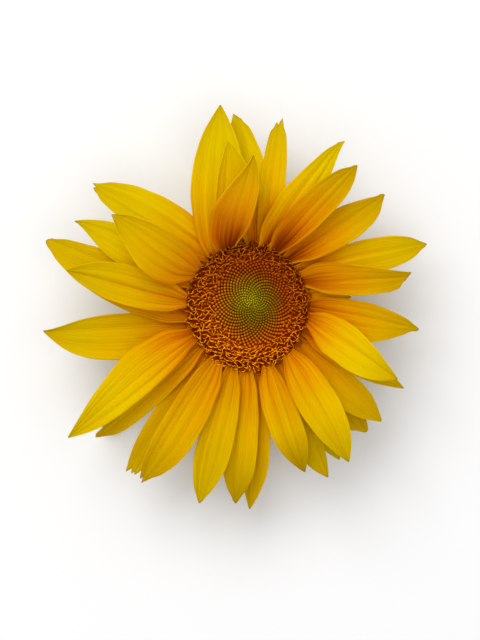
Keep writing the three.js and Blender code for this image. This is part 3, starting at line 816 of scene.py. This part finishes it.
def mottledMaterial(name, scale, dark, light):
    material, tree, shader = newMaterial(name, 0.75, **{"Specular IOR Level": 0.0})
    mottle = noiseNode(tree, "Object", (scale, scale, scale), 3.0)
    tree.links.new(mixNode(tree, mottle, dark, light), shader.inputs["Base Color"])
    return material


def makeDiscBed():
    rings = [(28.6, discFloor), (29.5, discFloor + 1.2), (29.6, 3.5)]
    rings += [(radius, discFace(radius) - 0.8) for radius in (29.0, 27, 25, 23, 21, 19, 17, 14, 10, 6, 2)]
    material = mottledMaterial("chaffBed", 900, (0.1, 0.008, 0.0), (0.24, 0.03, 0.0))
    finishPiece(turnedPiece(rings, 72), "disc_bed", material, "open_florets")
    print("disc bed made")


def makeClawRing():
    rings = [(29.7, discFloor), (36.5, discFloor), (37.2, discFloor + 0.7), (34.0, 0.2), (32.6, 2.2),
             (31.4, 3.2), (29.7, 3.2), (29.7, discFloor)]
    material = mottledMaterial("clawBases", 400, (0.2, 0.03, 0.0), (0.46, 0.1, 0.0))
    finishPiece(turnedPiece(rings, 96, loop=True), "claw_ring", material, "ray_petals")
    print("claw ring made")


# Green cup and bracts

cupTop = discFloor - 0.3
neck = cupTop - 14       # where the cup narrows into the stem
bractLook = {
    "thickness": 0.6, "columns": 12, "rows": 26, "broadest": 0.22, "leastHalf": 0.35, "fold": 0.12,
    "midribDepth": 0.35, "midribHalf": 0.12, "ripple": 0.12, "flatShare": 0.2, "seed": 23,
    "fringe": 34, "fringeFrom": 0.12, "fringeTo": 0.94, "hairLength": 1.1, "hairThickness": 0.13,
    "hairSeed": 9,
}

# the middle line's claw, bend and tip as radius and height; flat is how far it runs on along the surface
bractWhorls = [
    {"count": 13, "first": 12.5, "width": 11, "flat": 0,
     "claw": (30.5, -4.2), "bend": (46, -4.6), "tip": (61, -12)},
    {"count": 12, "first": 20, "width": 11, "flat": 0,
     "claw": (25, -7), "bend": (41, -11.5), "tip": (53, -21)},
    {"count": 8, "first": 238.5, "width": 11, "flat": 8,
     "claw": (17, -10.6), "bend": (38, -35.55), "tip": (49, -35.55)},
]


def bractSurface(whorl, direction, size):
    look = bractLook
    outward = polar(1, direction)
    left = np.array([-outward[1], outward[0], 0])
    flatShare = look["flatShare"] if whorl["flat"] else 0.0
    claw, bend, tip = [np.array(whorl[key], float) for key in ("claw", "bend", "tip")]

    def surface(along, across):
        onArc = np.minimum(along / (1 - flatShare), 1)
        beyond = np.clip(along - (1 - flatShare), 0, None) / (flatShare or 1)
        back = 1 - onArc
        middle = claw * (back ** 2)[:, None] + bend * (2 * back * onArc)[:, None]
        middle += tip * (onArc ** 2)[:, None]
        radius = claw[0] + (middle[:, 0] - claw[0]) * size + whorl["flat"] * beyond
        narrowing = np.clip(along - look["broadest"], 0, None) / (1 - look["broadest"])
        broad = np.minimum(1, 0.7 + 1.4 * along) * np.clip(1 - narrowing, 0, 1) ** 0.8
        halfWidth = np.maximum(look["leastHalf"], whorl["width"] / 2 * broad)
        lift = np.sin(math.pi * onArc)
        fold = look["fold"] * whorl["width"] * lift * across ** 2
        midrib = -look["midribDepth"] * lift * np.exp(-(across / look["midribHalf"]) ** 2)
        ripple = look["ripple"] * lift * np.sin(5 * math.pi * across)
        points = outward * radius[:, None] + left * (halfWidth * across)[:, None]
        points[:, 2] = middle[:, 1] + fold + midrib + ripple
        return points, {"along": along, "across": across}
    return surface


def greenMaterial(name, pale, deep, roughness, veined=False):
    sockets = {"Specular IOR Level": 0.3, "Sheen Weight": 0.2}
    material, tree, shader = newMaterial(name, roughness, **sockets)
    mottle = noiseNode(tree, "Object", (220, 220, 220), 4.0)
    speckle = noiseNode(tree, "Object", (1400, 1400, 1400), 2.0)
    colour = mixNode(tree, fadeNode(tree, mottle, 0.35, 0.65), deep, pale)
    colour = tintNode(tree, mathNode(tree, "MULTIPLY", speckle, 0.5), colour, (0.7, 0.75, 0.6))
    if veined:
        veins = noiseNode(tree, "UV", (16, 0.7, 1), 2.0)
        colour = tintNode(tree, fadeNode(tree, veins, 0.45, 0.7, 0.0, 0.7), colour, (0.6, 0.72, 0.5))
        across = mathNode(tree, "ABSOLUTE", attributeNode(tree, "across"))
        midrib = fadeNode(tree, across, 0.1, 0.03, 0.0, 0.6)
        colour = mixNode(tree, midrib, colour, tuple(2.0 * part for part in pale))
        towardsTip = fadeNode(tree, attributeNode(tree, "along"), 0.75, 1.0)
        colour = tintNode(tree, towardsTip, colour, (0.9, 0.75, 0.6))
        speckle = mathNode(tree, "ADD", speckle, mathNode(tree, "MULTIPLY", veins, 2.0))
    tree.links.new(colour, shader.inputs["Base Color"])
    bumpNode(tree, shader, speckle, 0.4, 0.0003)
    return material


# A soft hair 1 thick at its foot and 1 long, and one copy of it on its way out from a place
def hairModel():
    deselectAll()
    bpy.ops.mesh.primitive_cone_add(vertices=3, radius1=0.5, radius2=0, depth=1)
    points, faces = takeModel(bpy.context.object)
    points[:, 2] += 0.5
    return points, faces


def hairCopy(model, place, way, thickness, length):
    way = way / np.linalg.norm(way)
    leanWay, lean = math.atan2(way[1], way[0]), math.acos(way[2])
    return model, placing(place, place[2], 0, leanWay, lean, (thickness, thickness, length)), {}


def makeCup():
    material = greenMaterial("cupSkin", (0.2, 0.27, 0.06), (0.1, 0.16, 0.03), 0.65)
    rings = [(6.6, neck), (10.1, cupTop - 11.8), (20, cupTop - 9), (29, cupTop - 4.6),
             (33.5, cupTop - 1.6), (34, cupTop - 0.6), (33.4, cupTop)]
    finishPiece(turnedPiece(rings, 64), "green_cup", material, "receptacle")
    print("cup made")


# Hairs along both edges of a bract, each pointing out from inside the edge
def fringeCopies(hair, surface, direction, chance):
    look = bractLook
    along = np.linspace(look["fringeFrom"], look["fringeTo"], look["fringe"])
    hairs = []
    for side in (-1.0, 1.0):
        edge, inner = surface(along, side)[0], surface(along, 0.7 * side)[0]
        for foot, inward in zip(edge, inner):
            way = foot - inward + polar(chance.uniform(0.1, 0.6), direction)
            length = look["hairLength"] * chance.uniform(0.6, 1.2)
            place = foot * 0.99 + inward * 0.01
            hairs.append(hairCopy(hair, place, way, look["hairThickness"], length))
    return hairs


def makeBracts():
    look = bractLook
    material = greenMaterial("bractTissue", (0.2, 0.3, 0.07), (0.1, 0.18, 0.035), 0.6, veined=True)
    draw = seededDraw(look["seed"])
    chance = random.Random(look["hairSeed"])
    hair, hairs = hairModel(), []
    number = 0
    for whorl in bractWhorls:
        spread = 0 if whorl["flat"] else 1
        for index in range(whorl["count"]):
            direction = whorl["first"] + index * 360 / whorl["count"] + spread * (6 * draw() - 3)
            size = 1 + spread * (0.2 * draw() - 0.1)
            surface = bractSurface(whorl, direction, size)
            piece = gridPiece(look["columns"], look["rows"], surface)
            applyModifier(piece, "SOLIDIFY", thickness=look["thickness"] * mm, offset=0.0)
            number += 1
            finishPiece(piece, f"bract_{number:02d}", material, "receptacle")
            hairs += fringeCopies(hair, surface, direction, chance)
    material = mottledMaterial("fringeHair", 500, (0.4, 0.46, 0.24), (0.72, 0.76, 0.55))
    finishPiece(scattered("bract_fringe", hairs), "bract_fringe", material, "receptacle")
    print("bracts made:", number, "with", len(hairs), "hairs")


# Stem

stemLook = {
    "radius": 5.5, "neckGap": 0.3, "bend": 13, "reach": 97, "direction": 216, "sweep": 2.5, "ribs": 13,
    "ribDepth": 0.22, "ribCorners": 6, "pith": 3.9, "pithDepth": 1.0, "pithSunk": 0.44, "hairs": 1500,
    "hairLength": 1.3, "hairThickness": 0.14, "hairRoot": 0.35, "hairClear": 1.6, "seed": 4,
}
floorLevel = -headMiddle.z / mm      # the surface that the flower lies on, from the middle of the head


# Down from the cup, round a bend and along the surface
def stemRoute():
    look = stemLook
    route = [polar(0, 0, neck - look["neckGap"])]
    for turn in range(0, 91, 15):
        angle = math.radians(turn)
        height = floorLevel + look["radius"] + look["bend"] * (1 - math.sin(angle))
        route.append(polar(look["bend"] * (1 - math.cos(angle)), look["direction"], height))
    for share in (0.05, 0.3, 0.55, 0.8, 1):
        radius = look["bend"] + (look["reach"] - look["bend"]) * share
        direction = look["direction"] + look["sweep"] * share * share
        route.append(polar(radius, direction, floorLevel + look["radius"]))
    return route


# The round of the stem's skin with its ribs
def ribbedRound():
    look = stemLook
    profile = bpy.data.curves.new("ribbedRound", "CURVE")
    profile.dimensions = "2D"
    spline = profile.splines.new("POLY")
    corners = look["ribs"] * look["ribCorners"]
    spline.points.add(corners - 1)
    for index, point in enumerate(spline.points):
        turn = index * 360 / corners
        groove = 0.5 - 0.5 * math.cos(math.radians(look["ribs"] * turn))
        radius = look["radius"] - 0.05 - look["ribDepth"] * groove
        point.co = (*(polar(radius, turn) * mm), 1)
    spline.use_cyclic_u = True
    piece = bpy.data.objects.new("ribbedRound", profile)
    bpy.context.collection.objects.link(piece)
    return piece


def makeStem():
    material = greenMaterial("stemSkin", (0.34, 0.43, 0.12), (0.22, 0.31, 0.07), 0.6)
    route = intoFrame(stemRoute())
    curve = bpy.data.curves.new("stem", "CURVE")
    curve.dimensions = "3D"
    profile = ribbedRound()
    curve.bevel_mode = "OBJECT"
    curve.bevel_object = profile
    curve.use_fill_caps = True
    spline = curve.splines.new("NURBS")
    spline.points.add(len(route) - 1)
    for point, place in zip(spline.points, route):
        point.co = (*place, 1)
    spline.order_u = 3
    spline.use_endpoint_u = True
    spline.resolution_u = 8
    piece = bpy.data.objects.new("stem", curve)
    bpy.context.collection.objects.link(piece)
    takeUp(piece)
    bpy.ops.object.convert(target="MESH")
    bpy.ops.object.mode_set(mode="EDIT")
    makeNormalsConsistent()
    finishPiece(bpy.context.object, "stem_skin", material, "stem")
    bpy.data.objects.remove(profile, do_unlink=True)
    makePith(Vector(route[-2]), Vector(route[-1]))
    makeStemHairs()
    print("stem made")


# The pale pith in the cut end
def makePith(before, end):
    look = stemLook
    way = (end - before).normalized()
    deselectAll()
    bpy.ops.mesh.primitive_cylinder_add(vertices=40, radius=look["pith"] * mm, depth=look["pithDepth"] * mm,
                                        location=end - way * look["pithSunk"] * mm,
                                        rotation=way.to_track_quat("Z", "Y").to_euler())
    piece = bpy.context.object
    bpy.ops.object.transform_apply(location=True, rotation=True, scale=True)
    material = mottledMaterial("stemPith", 1600, (0.5, 0.48, 0.26), (0.84, 0.82, 0.62))
    finishPiece(piece, "stem_pith", material, "stem")
    for polygon in piece.data.polygons:
        polygon.use_smooth = False


def makeStemHairs():
    look = stemLook
    chance = random.Random(look["seed"])
    route = stemRoute()
    aside = polar(1, look["direction"] + 90)
    hair, hairs = hairModel(), []
    steps = np.linalg.norm(np.diff(route, axis=0), axis=1)
    travelled = np.concatenate([[0], np.cumsum(steps)])
    for number in range(look["hairs"]):
        travel = chance.uniform(0.06, 0.99) * travelled[-1]
        part = int(np.searchsorted(travelled, travel)) - 1
        forward = (route[part + 1] - route[part]) / steps[part]
        middle = route[part] + forward * (travel - travelled[part])
        across = np.cross(aside, forward)
        turn = chance.uniform(0, 2 * math.pi)
        way = aside * math.cos(turn) + across * math.sin(turn)
        length = look["hairLength"] * chance.uniform(0.5, 1.1)
        foot = middle + way * (look["radius"] - look["hairRoot"])
        lean = forward * chance.uniform(-0.5, 0.5)
        if foot[2] > floorLevel + look["hairClear"]:
            hairs.append(hairCopy(hair, foot, way + lean, look["hairThickness"], length))
    material = mottledMaterial("stemHair", 500, (0.45, 0.5, 0.28), (0.78, 0.8, 0.6))
    finishPiece(scattered("stem_hairs", hairs), "stem_hairs", material, "stem")


# Stage, light and camera

stageLook = {"floorSize": 12, "floorDrop": 0.2, "floorColour": (0.9, 0.9, 0.9), "world": 0.56}
cameraLook = {
    "lens": 135, "sensor": 36, "frame": (480, 640), "mmPerPixel": 0.5, "headPixel": (248, 307),
    "planeHeight": 9,
}
lightLook = {
    "keyLight": {"place": (-0.7, 1.1, 1.8), "size": 1.8, "power": 29},
    "topLight": {"place": (0.2, -0.3, 2.0), "size": 1.6, "power": 8},
}


def makeFloor():
    look = stageLook
    material, tree, shader = newMaterial("paleFloor", 0.9, **{"Specular IOR Level": 0.1})
    plugIn(tree, shader.inputs["Base Color"], look["floorColour"])
    deselectAll()
    bpy.ops.mesh.primitive_plane_add(size=look["floorSize"], location=(0, 0, -look["floorDrop"] * mm))
    floor = bpy.context.object
    floor.name = "studioFloor"
    floor.data.materials.append(material)


def makeLights():
    world = bpy.data.worlds.new("studioWorld")
    bpy.context.scene.world = world
    world.use_nodes = True
    background = world.node_tree.nodes["Background"]
    background.inputs["Color"].default_value = (1, 1, 1, 1)
    background.inputs["Strength"].default_value = stageLook["world"]
    for name, look in lightLook.items():
        light = bpy.data.lights.new(name, "AREA")
        light.shape = "DISK"
        light.size = look["size"]
        light.energy = look["power"]
        lamp = bpy.data.objects.new(name, light)
        lamp.location = look["place"]
        lamp.rotation_euler = (headMiddle - lamp.location).to_track_quat("-Z", "Y").to_euler()
        bpy.context.collection.objects.link(lamp)
    bpy.context.scene.view_settings.view_transform = "Standard"


def makeCamera():
    look = cameraLook
    camera = bpy.data.cameras.new("lookingDown")
    camera.lens = look["lens"]
    camera.sensor_width = look["sensor"]
    distance = look["lens"] / look["sensor"] * look["frame"][1] * look["mmPerPixel"]
    aside = (look["frame"][0] / 2 - look["headPixel"][0]) * look["mmPerPixel"]
    above = (look["headPixel"][1] - look["frame"][1] / 2) * look["mmPerPixel"]
    viewer = bpy.data.objects.new("lookingDown", camera)
    viewer.location = headMiddle + Vector((aside, above, look["planeHeight"] + distance)) * mm
    bpy.context.collection.objects.link(viewer)
    bpy.context.scene.camera = viewer


makeFloor()
makeLights()
makeCamera()
print("stage, lights and camera made")
makePetals()
makeClawRing()
makeDiscBed()
makeDisc()
makeCup()
makeBracts()
makeStem()
